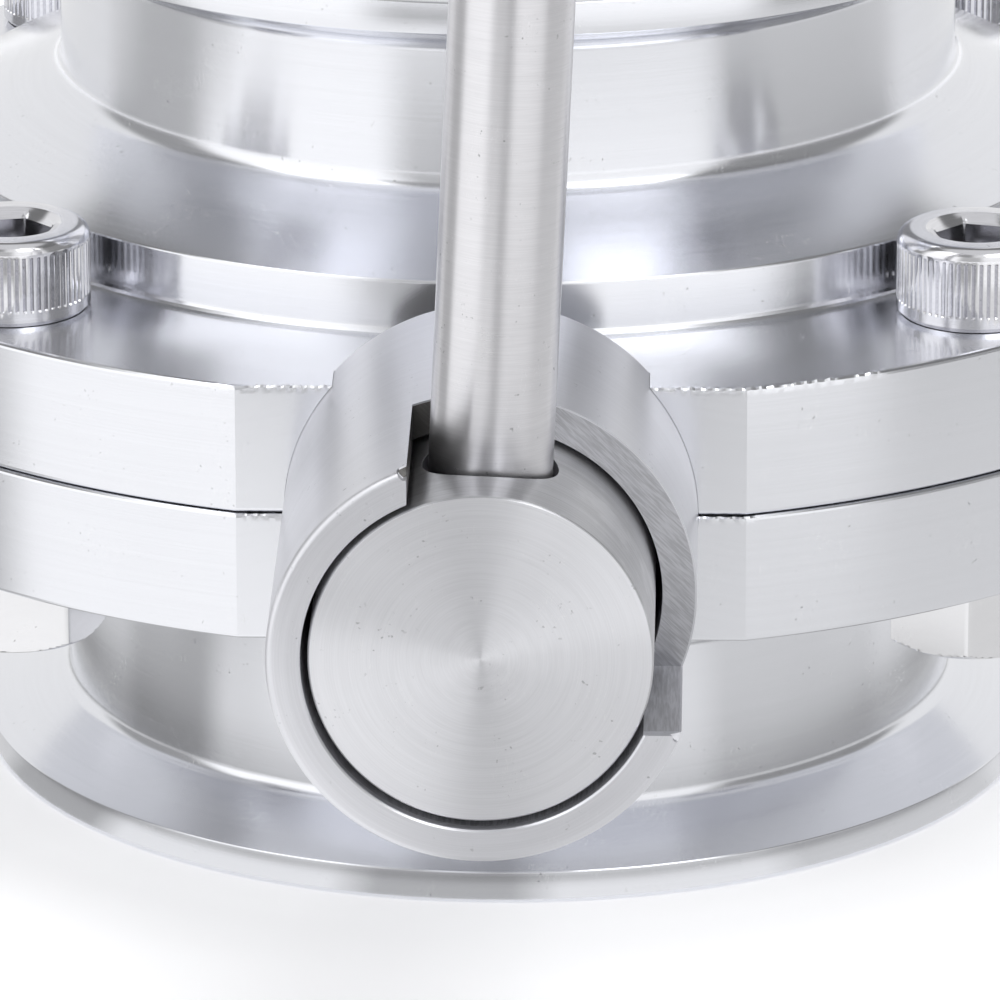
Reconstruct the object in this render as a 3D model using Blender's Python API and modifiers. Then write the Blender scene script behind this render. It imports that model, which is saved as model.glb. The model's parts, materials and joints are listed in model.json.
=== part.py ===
"""Sanitary butterfly valve with clamp ends and a bar handle.

The pipe axis is vertical and the valve stands on its lower ferrule.  The
origin is at the bottom centre of the whole valve, +Z up, and the handle
stem comes out towards -Y.  Lengths are in metres.
"""
import math

import bmesh
import bpy
from mathutils import Vector

MM = 0.001
GAP = 0.3 * MM                      # clearance between neighbouring pieces

# --- overall layout --------------------------------------------------------
LOWER_HEIGHT = 40.0 * MM            # parting plane above the lower ferrule face
UPPER_HEIGHT = 37.9 * MM            # upper ferrule face above the parting plane
FLANGE_R = 65.1 * MM
HOUSING_FRONT = 96.0 * MM           # housing face in front of the pipe axis
PIPE_Y = (HOUSING_FRONT - FLANGE_R) / 2
STEM_Z = LOWER_HEIGHT
OPEN_LEAN = math.radians(2.6)       # the handle rests a little past fully open

# --- body halves -----------------------------------------------------------
FLANGE_T = 10.75 * MM               # thickness of each half's flange
FLANGE_CHAMFER = 0.4 * MM
FACET_D = 61.8 * MM                 # flat front of the flanges
BOSS_R = 49.2 * MM
LOWER_BOSS_R = 48.3 * MM            # smaller, to clear the corners of the nuts
BOSS_TOP = 15.5 * MM
CONE_TOP = 19.3 * MM
TUBE_R = 38.1 * MM
TUBE_FILLET = 1.3 * MM
BORE_R = 36.45 * MM
RIM_R = 45.5 * MM                   # clamp ferrule for a 3 inch line
RIM_EDGE = 2.85 * MM
RIM_BEVEL = math.radians(20)
GROOVE_R = 41.8 * MM                # gasket groove in the ferrule face
GROOVE_W = 3.2 * MM
GROOVE_D = 1.5 * MM
POCKET_R = 43.3 * MM                # pocket for the seat ring
POCKET_H = 8.3 * MM

# --- seat, disc and stems --------------------------------------------------
SEAT_R = POCKET_R - GAP
SEAT_BORE = 35.6 * MM
SEAT_H = POCKET_H - GAP
SEAT_CROWN = 0.8 * MM
DISC_R = SEAT_BORE - GAP
DISC_RIM = 1.7 * MM                 # half thickness at the edge
DISC_CENTRE = 4.6 * MM              # half thickness at the middle
HUB_R = 8.6 * MM
HUB_END = 34.2 * MM
HUB_FACE = 8.3 * MM                 # hub bore starts this far from the middle
STEM_R = 6.0 * MM
STEM_INNER = 20.0 * MM
STEM_SQUARE = 8.4 * MM
SQUARE_START = 62.2 * MM
STEM_TIP = 89.2 * MM
IDLER_TIP = 57.0 * MM
BUSH_R = 7.6 * MM
IDLER_BUSH_R = 8.4 * MM

# --- handle housing --------------------------------------------------------
HOUSING_R = 16.6 * MM
HOUSING_BORE = 13.9 * MM
HOUSING_REAR = 58.0 * MM
HOUSING_FLOOR = 62.5 * MM
HOUSING_EDGE = 0.6 * MM
NECK_R = 9.4 * MM
COLLAR_R = 11.5 * MM
COLLAR_FRONT = 48.6 * MM
COLLAR_REAR = 45.3 * MM
SLOT_DEPTH = 15.55 * MM
SLOT_LEFT = -5.65 * MM               # stop for the open handle
SLOT_LOW = -5.95 * MM                # stop for the closed handle
ORING_MAJOR = 7.2 * MM
ORING_MINOR = 0.85 * MM
ORING_SEAT_R = 8.4 * MM
ORING_SEAT_D = 2.6 * MM
WASHER_R = 13.4 * MM
WASHER_T = 1.4 * MM

# --- spool and handle ------------------------------------------------------
SPOOL_R = 13.35 * MM
SPOOL_FRONT = 95.45 * MM
SPOOL_REAR = HOUSING_FLOOR + 2 * GAP + WASHER_T
SPOOL_EDGE = 0.25 * MM
ROD_R = 4.85 * MM
ROD_Y = 85.55 * MM                   # rod axis in front of the pipe axis
ROD_SEAT = 9.0 * MM                 # counterbore floor above the stem axis
ROD_SEAT_R = 5.3 * MM
ROD_TIP_R = 2.0 * MM
ROD_TIP = 1.0 * MM
ROD_END = 155.0 * MM                # end of the rod from the stem axis

# --- fasteners, M8 ---------------------------------------------------------
BOLT_X = 39.4 * MM                  # screw axes from the pipe axis
BOLT_Y = 41.3 * MM
BOLT_SHANK_R = 3.9 * MM
BOLT_HOLE_R = 4.5 * MM
HEAD_R = 6.5 * MM
HEAD_H = 7.1 * MM
HEAD_EDGE = 0.8 * MM
HEX_KEY = 6.0 * MM
HEX_DEPTH = 4.0 * MM
NUT_AF = 13.0 * MM
NUT_H = 6.5 * MM
NUT_HOLE_R = BOLT_SHANK_R + GAP
NUT_EDGE = 0.7 * MM
NUT_TURN = (8, 27, 12, 48)          # degrees, as each nut was tightened

ROUND_STEPS = 48                    # facets on the large turned pieces
DRUM_STEPS = 36                     # on the housing and the spool
SMALL_STEPS = 24
TOWARDS_FRONT = (math.pi / 2, 0, 0)  # turns local +Z to -Y
TOWARDS_BACK = (-math.pi / 2, 0, 0)
FAR = 200 * MM                      # a size that clears the whole valve

FINISHES = {
    "machined_steel": ((0.78, 0.78, 0.80), 0.22, 1.0),
    "turned_steel": ((0.72, 0.72, 0.73), 0.30, 1.0),
    "polished_disc": ((0.80, 0.80, 0.81), 0.12, 1.0),
    "brushed_bar": ((0.68, 0.67, 0.66), 0.34, 1.0),
    "fastener_steel": ((0.66, 0.66, 0.67), 0.28, 1.0),
    "seat_rubber": ((0.62, 0.62, 0.60), 0.65, 0.0),
    "ptfe": ((0.86, 0.85, 0.82), 0.45, 0.0),
    "o_ring_rubber": ((0.03, 0.03, 0.03), 0.55, 0.0),
}


def clear_scene():
    for obj in list(bpy.data.objects):
        bpy.data.objects.remove(obj, do_unlink=True)


def new_collection(name):
    collection = bpy.data.collections.new(name)
    bpy.context.scene.collection.children.link(collection)
    return collection


def finish_material(part, finish):
    colour, roughness, metallic = FINISHES[finish]
    material = bpy.data.materials.new(part + "_" + finish)
    material.use_nodes = True
    shader = material.node_tree.nodes["Principled BSDF"]
    shader.inputs["Base Color"].default_value = (*colour, 1)
    shader.inputs["Roughness"].default_value = roughness
    shader.inputs["Metallic"].default_value = metallic
    return material


def add_object(name, mesh, finish=None, location=(0, 0, 0), rotation=(0, 0, 0), parent=None):
    """Link a part, or a cutter when there is no finish."""
    obj = bpy.data.objects.new(name, mesh)
    (parts if finish else cutters).objects.link(obj)
    obj.location = location
    obj.rotation_euler = rotation
    obj.parent = parent
    if finish:
        mesh.materials.append(finish_material(name, finish))
    else:
        obj.hide_render = True
        obj.display_type = "WIRE"
    return obj


def mesh_from(name, build):
    mesh = bpy.data.meshes.new(name)
    bm = bmesh.new()
    build(bm)
    bmesh.ops.recalc_face_normals(bm, faces=bm.faces)
    bm.to_mesh(mesh)
    bm.free()
    return mesh


def profile_mesh(name, points, closed):
    """A profile in the XZ plane, ready to be turned about Z."""
    def build(bm):
        verts = [bm.verts.new((r, 0, z)) for r, z in points]
        for a, b in zip(verts, verts[1:]):
            bm.edges.new((a, b))
        if closed:
            bm.edges.new((verts[-1], verts[0]))
    return mesh_from(name, build)


def turned(name, points, finish=None, closed=True, steps=ROUND_STEPS, **place):
    """Turn a profile about its own Z axis; the outer side runs top to bottom."""
    obj = add_object(name, profile_mesh(name, points, closed), finish, **place)
    screw = obj.modifiers.new("turn", "SCREW")
    screw.axis = "Z"
    screw.angle = math.tau
    screw.steps = screw.render_steps = steps
    screw.use_merge_vertices = True
    screw.merge_threshold = 0.01 * MM
    screw.use_normal_calculate = False
    screw.use_smooth_shade = True
    return obj


def cylinder_profile(radius, low, high, edge=0.0):
    """Open profile of a solid cylinder, axis to axis, with chamfered rims."""
    if not edge:
        return [(0, high), (radius, high), (radius, low), (0, low)]
    return [(0, high), (radius - edge, high), (radius, high - edge),
            (radius, low + edge), (radius - edge, low), (0, low)]


def ring_profile(inner, outer, low, high, edge=0.0):
    if not edge:
        return [(inner, high), (outer, high), (outer, low), (inner, low)]
    return [(inner + edge, high), (outer - edge, high), (outer, high - edge),
            (outer, low + edge), (outer - edge, low), (inner + edge, low),
            (inner, low + edge), (inner, high - edge)]


def box_mesh(name, low, high):
    def build(bm):
        bmesh.ops.create_cube(bm, size=1)
        for vert in bm.verts:
            vert.co = Vector([a + (c + 0.5) * (b - a) for a, b, c in zip(low, high, vert.co)])
    return mesh_from(name, build)


def prism_mesh(name, sides, apothem, low, high):
    """An upright prism of regular section, measured across its flats."""
    def build(bm):
        radius = apothem / math.cos(math.pi / sides)
        bmesh.ops.create_cone(bm, cap_ends=True, segments=sides, radius1=radius,
                              radius2=radius, depth=high - low)
        for vert in bm.verts:
            vert.co.z += (high + low) / 2
    return mesh_from(name, build)


def cut(obj, cutter, operation="DIFFERENCE"):
    boolean = obj.modifiers.new(operation.lower(), "BOOLEAN")
    boolean.operation = operation
    boolean.solver = "EXACT"
    boolean.object = cutter


def set_edges(obj, degrees=30):
    """Smooth shading that keeps the machined edges crisp."""
    obj.data.shade_smooth()
    obj.data.set_sharp_from_angle(angle=math.radians(degrees))


# --- pieces of the body ----------------------------------------------------

def half_profile(height, boss_r):
    """Section of one body half above the parting plane, clockwise."""
    bevel_drop = (RIM_R - TUBE_R - TUBE_FILLET) * math.tan(RIM_BEVEL)
    rim_low = height - RIM_EDGE
    face = GAP / 2
    return [
        (GROOVE_R + GROOVE_W / 2, height), (RIM_R, height), (RIM_R, rim_low),
        (TUBE_R + TUBE_FILLET, rim_low - bevel_drop),
        (TUBE_R, rim_low - bevel_drop - TUBE_FILLET),
        (TUBE_R, CONE_TOP + TUBE_FILLET), (TUBE_R + TUBE_FILLET, CONE_TOP),
        (boss_r - FLANGE_CHAMFER, BOSS_TOP), (boss_r, BOSS_TOP - FLANGE_CHAMFER),
        (boss_r, FLANGE_T),
        (FLANGE_R - FLANGE_CHAMFER, FLANGE_T), (FLANGE_R, FLANGE_T - FLANGE_CHAMFER),
        (FLANGE_R, face + FLANGE_CHAMFER), (FLANGE_R - FLANGE_CHAMFER, face),
        (POCKET_R, face), (POCKET_R, POCKET_H), (BORE_R, POCKET_H),
        (BORE_R, height),
        (GROOVE_R - GROOVE_W / 2, height),
        (GROOVE_R - GROOVE_W / 4, height - GROOVE_D),
        (GROOVE_R + GROOVE_W / 4, height - GROOVE_D),
    ]


def body_half(name, height, boss_r, up, cavities):
    """The lower half is made like the upper one, turned over about the stem."""
    rotation = (0, 0, 0) if up else (0, math.pi, 0)
    half = turned(name, half_profile(height, boss_r), "machined_steel",
                  location=(0, PIPE_Y, STEM_Z), rotation=rotation)
    for cavity in cavities:
        cut(half, cavity)
    set_edges(half)
    return half


def bolt_places():
    """Front left, front right, back right, back left, seen from the handle."""
    for sx, sy in ((-1, -1), (1, -1), (1, 1), (-1, 1)):
        yield Vector((sx * BOLT_X, PIPE_Y + sy * BOLT_Y, STEM_Z))


def body_cavities():
    axis = dict(location=(0, PIPE_Y, STEM_Z))
    facet = add_object("cut_facet", box_mesh("cut_facet", (-FAR, -FAR, -FAR),
                                             (FAR, -FACET_D, FAR)), **axis)
    front_bore = turned("cut_front_bore", [
        (0, FAR), (HOUSING_R + GAP, FAR), (HOUSING_R + GAP, HOUSING_REAR - GAP),
        (NECK_R + GAP, HOUSING_REAR - GAP), (NECK_R + GAP, COLLAR_FRONT + GAP),
        (COLLAR_R + GAP, COLLAR_FRONT + GAP), (COLLAR_R + GAP, COLLAR_REAR - GAP),
        (STEM_R + GAP, COLLAR_REAR - GAP), (STEM_R + GAP, SEAT_R - GROOVE_W), (0, SEAT_R - GROOVE_W),
    ], closed=False, steps=SMALL_STEPS, rotation=TOWARDS_FRONT, **axis)
    rear_bore = turned("cut_rear_bore",
                       cylinder_profile(IDLER_BUSH_R + GAP, SEAT_R - GROOVE_W, IDLER_TIP + GAP),
                       closed=False, steps=SMALL_STEPS, rotation=TOWARDS_BACK, **axis)
    bolt_holes = [add_object(f"cut_bolt_{i}", prism_mesh(f"cut_bolt_{i}", SMALL_STEPS // 2,
                                                         BOLT_HOLE_R, -FAR, FAR), location=place)
                  for i, place in enumerate(bolt_places(), 1)]
    return [facet, front_bore, rear_bore] + bolt_holes


def seat_ring():
    seat = turned("seat_ring", [
        (SEAT_BORE + SEAT_CROWN, SEAT_H), (SEAT_R, SEAT_H), (SEAT_R, -SEAT_H),
        (SEAT_BORE + SEAT_CROWN, -SEAT_H), (SEAT_BORE, -SEAT_H / 2), (SEAT_BORE, SEAT_H / 2),
    ], "seat_rubber", location=(0, PIPE_Y, STEM_Z))
    hole = turned("cut_seat", cylinder_profile(STEM_R + GAP, -FAR, FAR), closed=False,
                  steps=SMALL_STEPS, location=(0, PIPE_Y, STEM_Z), rotation=TOWARDS_FRONT)
    cut(seat, hole)
    set_edges(seat)


def fastener(number, place):
    """A cap screw from above and its nut under the lower flange."""
    head_low = FLANGE_T + GAP
    screw = turned(f"cap_screw_{number}", [
        (0, head_low + HEAD_H), (HEAD_R - HEAD_EDGE, head_low + HEAD_H),
        (HEAD_R, head_low + HEAD_H - HEAD_EDGE), (HEAD_R, head_low),
        (BOLT_SHANK_R, head_low), (BOLT_SHANK_R, -FLANGE_T - GAP - NUT_H),
        (0, -FLANGE_T - GAP - NUT_H),
    ], "fastener_steel", closed=False, steps=SMALL_STEPS, location=place)
    key = f"cut_key_{number}"
    cut(screw, add_object(key, prism_mesh(key, 6, HEX_KEY / 2, head_low + HEAD_H - HEX_DEPTH, FAR),
                          location=place, rotation=(0, 0, math.radians(NUT_TURN[number - 1]))))
    set_edges(screw)

    nut_name = f"hex_nut_{number}"
    nut_top = -FLANGE_T - GAP
    nut = add_object(nut_name, prism_mesh(nut_name, 6, NUT_AF / 2, nut_top - NUT_H, nut_top),
                     "fastener_steel", location=place,
                     rotation=(0, 0, math.radians(NUT_TURN[number - 1] + 90)))
    corner_r = NUT_AF / 2 / math.cos(math.pi / 6)
    chamfer = f"cut_chamfer_{number}"
    round_off = turned(chamfer, cylinder_profile(corner_r - NUT_EDGE / 4, nut_top - NUT_H,
                                                 nut_top, NUT_EDGE),
                       closed=False, steps=SMALL_STEPS, location=place)
    cut(nut, round_off, "INTERSECT")
    bore = f"cut_nut_{number}"
    cut(nut, add_object(bore, prism_mesh(bore, SMALL_STEPS // 2, NUT_HOLE_R, -FAR, FAR),
                        location=place))
    set_edges(nut)


# --- pieces of the handle housing ------------------------------------------

def handle_housing():
    """Sleeve with a neck and collar that the two flanges clamp."""
    axis = dict(location=(0, PIPE_Y, STEM_Z), rotation=TOWARDS_FRONT)
    housing = turned("handle_housing", [
        (HOUSING_BORE, HOUSING_FRONT), (HOUSING_R - HOUSING_EDGE, HOUSING_FRONT),
        (HOUSING_R, HOUSING_FRONT - HOUSING_EDGE), (HOUSING_R, HOUSING_REAR),
        (NECK_R, HOUSING_REAR), (NECK_R, COLLAR_FRONT), (COLLAR_R, COLLAR_FRONT),
        (COLLAR_R, COLLAR_REAR), (BUSH_R + GAP, COLLAR_REAR),
        (BUSH_R + GAP, HOUSING_REAR), (STEM_R + GAP, HOUSING_REAR),
        (STEM_R + GAP, HOUSING_FLOOR - ORING_SEAT_D), (ORING_SEAT_R, HOUSING_FLOOR - ORING_SEAT_D),
        (ORING_SEAT_R, HOUSING_FLOOR), (HOUSING_BORE, HOUSING_FLOOR),
    ], "turned_steel", steps=DRUM_STEPS, **axis)
    slot = add_object("cut_slot", box_mesh("cut_slot", (SLOT_LEFT, -FAR, SLOT_LOW),
                                           (FAR, SLOT_DEPTH - HOUSING_FRONT, FAR)),
                      location=(0, PIPE_Y, STEM_Z))
    cut(housing, slot)
    set_edges(housing)

    turned("drive_bush", ring_profile(STEM_R + GAP, BUSH_R, COLLAR_REAR, HOUSING_REAR - GAP),
           "ptfe", steps=SMALL_STEPS, **axis)
    turned("thrust_washer", ring_profile(STEM_R + GAP, WASHER_R, HOUSING_FLOOR + GAP,
                                         HOUSING_FLOOR + GAP + WASHER_T),
           "ptfe", steps=SMALL_STEPS, **axis)
    middle = HOUSING_FLOOR - ORING_SEAT_D / 2
    section = 12
    turned("stem_o_ring", [
        (ORING_MAJOR + ORING_MINOR * math.cos(a), middle - ORING_MINOR * math.sin(a))
        for a in (i * math.tau / section for i in range(section))
    ], "o_ring_rubber", steps=SMALL_STEPS, **axis)
    turned("idler_bush", ring_profile(STEM_R + GAP, IDLER_BUSH_R, SEAT_R + 2 * GAP, IDLER_TIP),
           "ptfe", steps=SMALL_STEPS, location=(0, PIPE_Y, STEM_Z), rotation=TOWARDS_BACK)


# --- the turning assembly --------------------------------------------------

def valve_disc(rotor):
    """A lens turned about X, with a hub along the stem axis."""
    arc = [(DISC_R * math.cos(a), DISC_R * math.sin(a)) for a in
           (math.asin(DISC_RIM / DISC_R) * k for k in (1, 0, -1))]
    profile = [(0, DISC_CENTRE), (HUB_R * 1.6, DISC_CENTRE - 0.5 * MM), *arc,
               (HUB_R * 1.6, -DISC_CENTRE + 0.5 * MM), (0, -DISC_CENTRE)]
    disc = turned("valve_disc", profile, "polished_disc", closed=False,
                  rotation=(0, math.pi / 2, 0), parent=rotor)
    hub = turned("cut_hub", cylinder_profile(HUB_R, -HUB_END, HUB_END, 0.5 * MM), closed=False,
                 steps=SMALL_STEPS, rotation=TOWARDS_FRONT, parent=rotor)
    cut(disc, hub, "UNION")
    for name, rotation in (("cut_drive_bore", TOWARDS_FRONT), ("cut_idler_bore", TOWARDS_BACK)):
        bore = turned(name, cylinder_profile(STEM_R + GAP, STEM_INNER - GAP, FAR), closed=False,
                      steps=SMALL_STEPS, rotation=rotation, parent=rotor)
        cut(disc, bore)
    set_edges(disc)


def stems(rotor):
    """Drive stem with a squared front end, and the short idler stem behind."""
    drive = turned("drive_stem", cylinder_profile(STEM_R, STEM_INNER, STEM_TIP, 0.4 * MM),
                   "turned_steel", closed=False, steps=SMALL_STEPS, rotation=TOWARDS_FRONT,
                   parent=rotor)
    half = STEM_SQUARE / 2
    flats = {"left": ((-FAR, -FAR, -FAR), (-half, -SQUARE_START, FAR)),
             "right": ((half, -FAR, -FAR), (FAR, -SQUARE_START, FAR)),
             "top": ((-FAR, -FAR, half), (FAR, -SQUARE_START, FAR)),
             "bottom": ((-FAR, -FAR, -FAR), (FAR, -SQUARE_START, -half))}
    for side, (low, high) in flats.items():
        name = "cut_flat_" + side
        cut(drive, add_object(name, box_mesh(name, low, high), parent=rotor))
    cross = add_object("cut_cross", prism_mesh("cut_cross", SMALL_STEPS // 2, ROD_TIP_R + GAP,
                                               ROD_TIP - GAP, FAR),
                       location=(0, -ROD_Y, 0), parent=rotor)
    cut(drive, cross)
    set_edges(drive)
    idler = turned("idler_stem", cylinder_profile(STEM_R, STEM_INNER, IDLER_TIP - GAP, 0.4 * MM),
                   "turned_steel", closed=False, steps=SMALL_STEPS, rotation=TOWARDS_BACK,
                   parent=rotor)
    set_edges(idler)


def handle_spool(rotor):
    """Solid drum on the stem square, with a seat for the rod."""
    spool = turned("handle_spool", cylinder_profile(SPOOL_R, SPOOL_REAR, SPOOL_FRONT, SPOOL_EDGE),
                   "turned_steel", closed=False, steps=DRUM_STEPS,
                   rotation=TOWARDS_FRONT, parent=rotor)
    half = STEM_SQUARE / 2 + GAP
    socket = add_object("cut_socket", box_mesh("cut_socket", (-half, -STEM_TIP - GAP, -half),
                                               (half, 0, half)), parent=rotor)
    seat = turned("cut_rod_seat", [
        (0, FAR), (ROD_SEAT_R, FAR), (ROD_SEAT_R, ROD_SEAT), (ROD_TIP_R + GAP, ROD_SEAT),
        (ROD_TIP_R + GAP, 0), (0, 0),
    ], closed=False, steps=SMALL_STEPS, location=(0, -ROD_Y, 0), parent=rotor)
    cut(spool, socket)
    cut(spool, seat)
    set_edges(spool)


def handle_rod(rotor):
    """Round bar with a stub that pins the spool to the stem and a domed end."""
    dome_steps = 6
    dome = [(ROD_R * math.sin(a), ROD_END - ROD_R + ROD_R * math.cos(a)) for a in
            (i * math.pi / 2 / dome_steps for i in range(dome_steps + 1))]
    shoulder = ROD_SEAT + GAP
    rod = turned("handle_rod", [*dome, (ROD_R, shoulder), (ROD_TIP_R, shoulder),
                                (ROD_TIP_R, ROD_TIP), (0, ROD_TIP)],
                 "brushed_bar", closed=False, steps=SMALL_STEPS, location=(0, -ROD_Y, 0),
                 parent=rotor)
    set_edges(rod)


clear_scene()
parts = new_collection("butterfly_valve")
cutters = new_collection("cutters")

cavities = body_cavities()
body_half("upper_body", UPPER_HEIGHT, BOSS_R, True, cavities)
body_half("lower_body", LOWER_HEIGHT, LOWER_BOSS_R, False, cavities)
seat_ring()
for number, place in enumerate(bolt_places(), 1):
    fastener(number, place)
handle_housing()

rotor_axis = bpy.data.objects.new("rotor_axis", None)
parts.objects.link(rotor_axis)
rotor_axis.location = (0, PIPE_Y, STEM_Z)
rotor_axis.rotation_euler = (0, OPEN_LEAN, 0)
valve_disc(rotor_axis)
stems(rotor_axis)
handle_spool(rotor_axis)
handle_rod(rotor_axis)
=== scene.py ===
"""The visual model of the butterfly valve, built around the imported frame."""

import json
import math

import bmesh
import bpy
from mathutils import Matrix, Vector, noise


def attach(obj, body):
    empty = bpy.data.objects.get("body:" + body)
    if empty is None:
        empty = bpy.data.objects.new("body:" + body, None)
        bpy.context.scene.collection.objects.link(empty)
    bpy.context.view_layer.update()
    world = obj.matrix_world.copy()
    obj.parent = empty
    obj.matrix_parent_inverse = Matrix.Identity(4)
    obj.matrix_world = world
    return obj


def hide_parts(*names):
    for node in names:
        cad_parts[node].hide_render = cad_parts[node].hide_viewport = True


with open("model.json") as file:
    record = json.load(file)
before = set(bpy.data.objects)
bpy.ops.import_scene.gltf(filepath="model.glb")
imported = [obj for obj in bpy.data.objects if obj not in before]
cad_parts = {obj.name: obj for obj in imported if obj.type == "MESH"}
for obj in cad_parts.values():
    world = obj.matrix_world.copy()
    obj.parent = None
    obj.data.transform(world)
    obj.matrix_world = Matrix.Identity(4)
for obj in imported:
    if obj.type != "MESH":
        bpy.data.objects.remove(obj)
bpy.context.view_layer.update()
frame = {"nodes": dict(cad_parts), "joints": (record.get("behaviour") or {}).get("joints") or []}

MM = 0.001

# --- places, read from the frame -------------------------------------------
joint = frame["joints"][0]
AXIS = Vector(joint["pos_m"])                    # stem axis meets pipe axis
LEAN = math.radians(2.6)                         # handle past fully open at rest

# --- sizes shared with the solids ------------------------------------------
LOWER_HEIGHT, UPPER_HEIGHT = 40.0 * MM, 37.9 * MM
FLANGE_R, FLANGE_T, FACET_D = 65.1 * MM, 10.75 * MM, 61.8 * MM
BOSS_R, LOWER_BOSS_R, BOSS_TOP, CONE_TOP = 49.2 * MM, 48.3 * MM, 15.5 * MM, 19.3 * MM
TUBE_R, BORE_R = 38.1 * MM, 36.45 * MM
RIM_R, RIM_EDGE, RIM_BEVEL = 45.5 * MM, 2.85 * MM, math.radians(20)
GROOVE_R, GROOVE_W = 41.8 * MM, 3.2 * MM
POCKET_R, POCKET_H = 43.3 * MM, 8.3 * MM
SEAT_BORE, SEAT_H = 35.6 * MM, 8.0 * MM
DISC_R, DISC_RIM, DISC_CENTRE = 35.3 * MM, 1.7 * MM, 4.6 * MM
HUB_R, HUB_END = 8.6 * MM, 34.2 * MM
HOUSING_R, HOUSING_BORE = 16.6 * MM, 13.9 * MM
HOUSING_FRONT, HOUSING_REAR, HOUSING_FLOOR = 96.0 * MM, 58.0 * MM, 62.5 * MM
SLOT_DEPTH, SLOT_LEFT, SLOT_LOW = 15.55 * MM, -5.65 * MM, -5.95 * MM
SPOOL_R, SPOOL_FRONT, SPOOL_REAR = 13.35 * MM, 95.45 * MM, 64.5 * MM
ROD_R, ROD_Y, ROD_SEAT, ROD_SEAT_R, ROD_END = 4.85 * MM, 85.55 * MM, 9.0 * MM, 5.3 * MM, 155.0 * MM
BOLT_X, BOLT_Y = 39.4 * MM, 41.3 * MM            # screw axes from the pipe axis
BOLT_SHIFT = -0.3 * MM                           # play of the screws in their holes, as in the photo
HEAD_R, HEAD_H, HEX_KEY, HEX_DEPTH = 6.5 * MM, 7.1 * MM, 6.0 * MM, 4.0 * MM
SHANK_R, NUT_AF, NUT_H = 3.9 * MM, 13.0 * MM, 6.5 * MM
NUT_TURN = (8, 27, 12, 48)                       # degrees that each nut happens to stand at
STEM_R, STEM_INNER, STEM_TIP, STEM_SQUARE = 6.0 * MM, 20.0 * MM, 89.2 * MM, 8.4 * MM
NECK_R, COLLAR_R, COLLAR_FRONT, COLLAR_REAR = 9.4 * MM, 11.5 * MM, 48.6 * MM, 45.3 * MM
BUSH_R, IDLER_BUSH_R, IDLER_TIP = 7.6 * MM, 8.4 * MM, 57.0 * MM
ORING_SEAT_R, ORING_SEAT_D = 8.4 * MM, 2.6 * MM
BOLT_HOLE_R, ROD_TIP_R, ROD_TIP = 4.5 * MM, 2.0 * MM, 1.0 * MM
GAP = 0.3 * MM                                   # clearance round the hidden pieces
SEAM = 0.12 * MM                                 # visible joint between touching pieces

ROUND = 288                                      # steps of a large turned surface
FINE_ZONE = math.radians(30)                     # finer steps this far round the front
TURN_FRONT = Matrix.Rotation(math.pi / 2, 4, "X")  # local +Z to -Y
TURN_BACK = Matrix.Rotation(-math.pi / 2, 4, "X")  # local +Z to +Y
FAR = 120 * MM                                   # past every surface of the valve
ROTOR = Matrix.Translation(AXIS) @ Matrix.Rotation(LEAN, 4, "Y")
FIXED = Matrix.Translation(AXIS)


# --- mesh helpers ----------------------------------------------------------

def arc(cx, cz, radius, start, end, steps=8):
    """Points of an arc in a profile, angles in degrees from +r towards +z."""
    return [(cx + radius * math.cos(math.radians(a)), cz + radius * math.sin(math.radians(a)))
            for a in (start + (end - start) * i / steps for i in range(steps + 1))]


def revolve(name, profile, angles, closed, radius_of=None):
    """Turn a profile about Z.  radius_of(index, r, z, angle) may shape a ring."""
    bm = bmesh.new()
    rings = []
    for i, (r, z) in enumerate(profile):
        if r < 1e-7:
            rings.append([bm.verts.new((0, 0, z))] * len(angles))
            continue
        ring = []
        for a in angles:
            rr = radius_of(i, r, z, a) if radius_of else r
            ring.append(bm.verts.new((rr * math.cos(a), rr * math.sin(a), z)))
        rings.append(ring)
    count = len(angles)
    pairs = list(zip(rings, rings[1:])) + ([(rings[-1], rings[0])] if closed else [])
    for upper, lower in pairs:
        for k in range(count):
            n = (k + 1) % count
            corners = [upper[k], upper[n], lower[n], lower[k]]
            face = [v for j, v in enumerate(corners) if v not in corners[:j]]
            if len(face) > 2:
                bm.faces.new(face[::-1])
    bmesh.ops.recalc_face_normals(bm, faces=bm.faces)
    mesh = bpy.data.meshes.new(name)
    bm.to_mesh(mesh)
    bm.free()
    return mesh


def even(steps=ROUND):
    return [math.tau * i / steps for i in range(steps)]


def add(name, mesh, matrix=Matrix.Identity(4)):
    obj = bpy.data.objects.new(name, mesh)
    bpy.context.scene.collection.objects.link(obj)
    obj.matrix_world = matrix
    return obj


def crisp(obj, degrees=14):
    """Shade smooth, with an edge wherever two faces meet at more than this angle."""
    obj.data.shade_smooth()
    obj.data.set_sharp_from_angle(angle=math.radians(degrees))


def apply_modifiers(obj):
    depsgraph = bpy.context.evaluated_depsgraph_get()
    mesh = bpy.data.meshes.new_from_object(obj.evaluated_get(depsgraph))
    obj.modifiers.clear()
    obj.data = mesh


def cut(obj, cutter, operation="DIFFERENCE"):
    boolean = obj.modifiers.new("cut", "BOOLEAN")
    boolean.operation = operation
    boolean.solver = "EXACT"
    boolean.object = cutter
    bpy.context.view_layer.update()
    apply_modifiers(obj)
    bpy.data.objects.remove(cutter)


def soften(obj, width, angle=35, segments=2):
    """A small bevel on the machined edges."""
    bevel = obj.modifiers.new("edge", "BEVEL")
    bevel.width = width
    bevel.segments = segments
    bevel.limit_method = "ANGLE"
    bevel.angle_limit = math.radians(angle)
    bevel.use_clamp_overlap = True
    apply_modifiers(obj)


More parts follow.
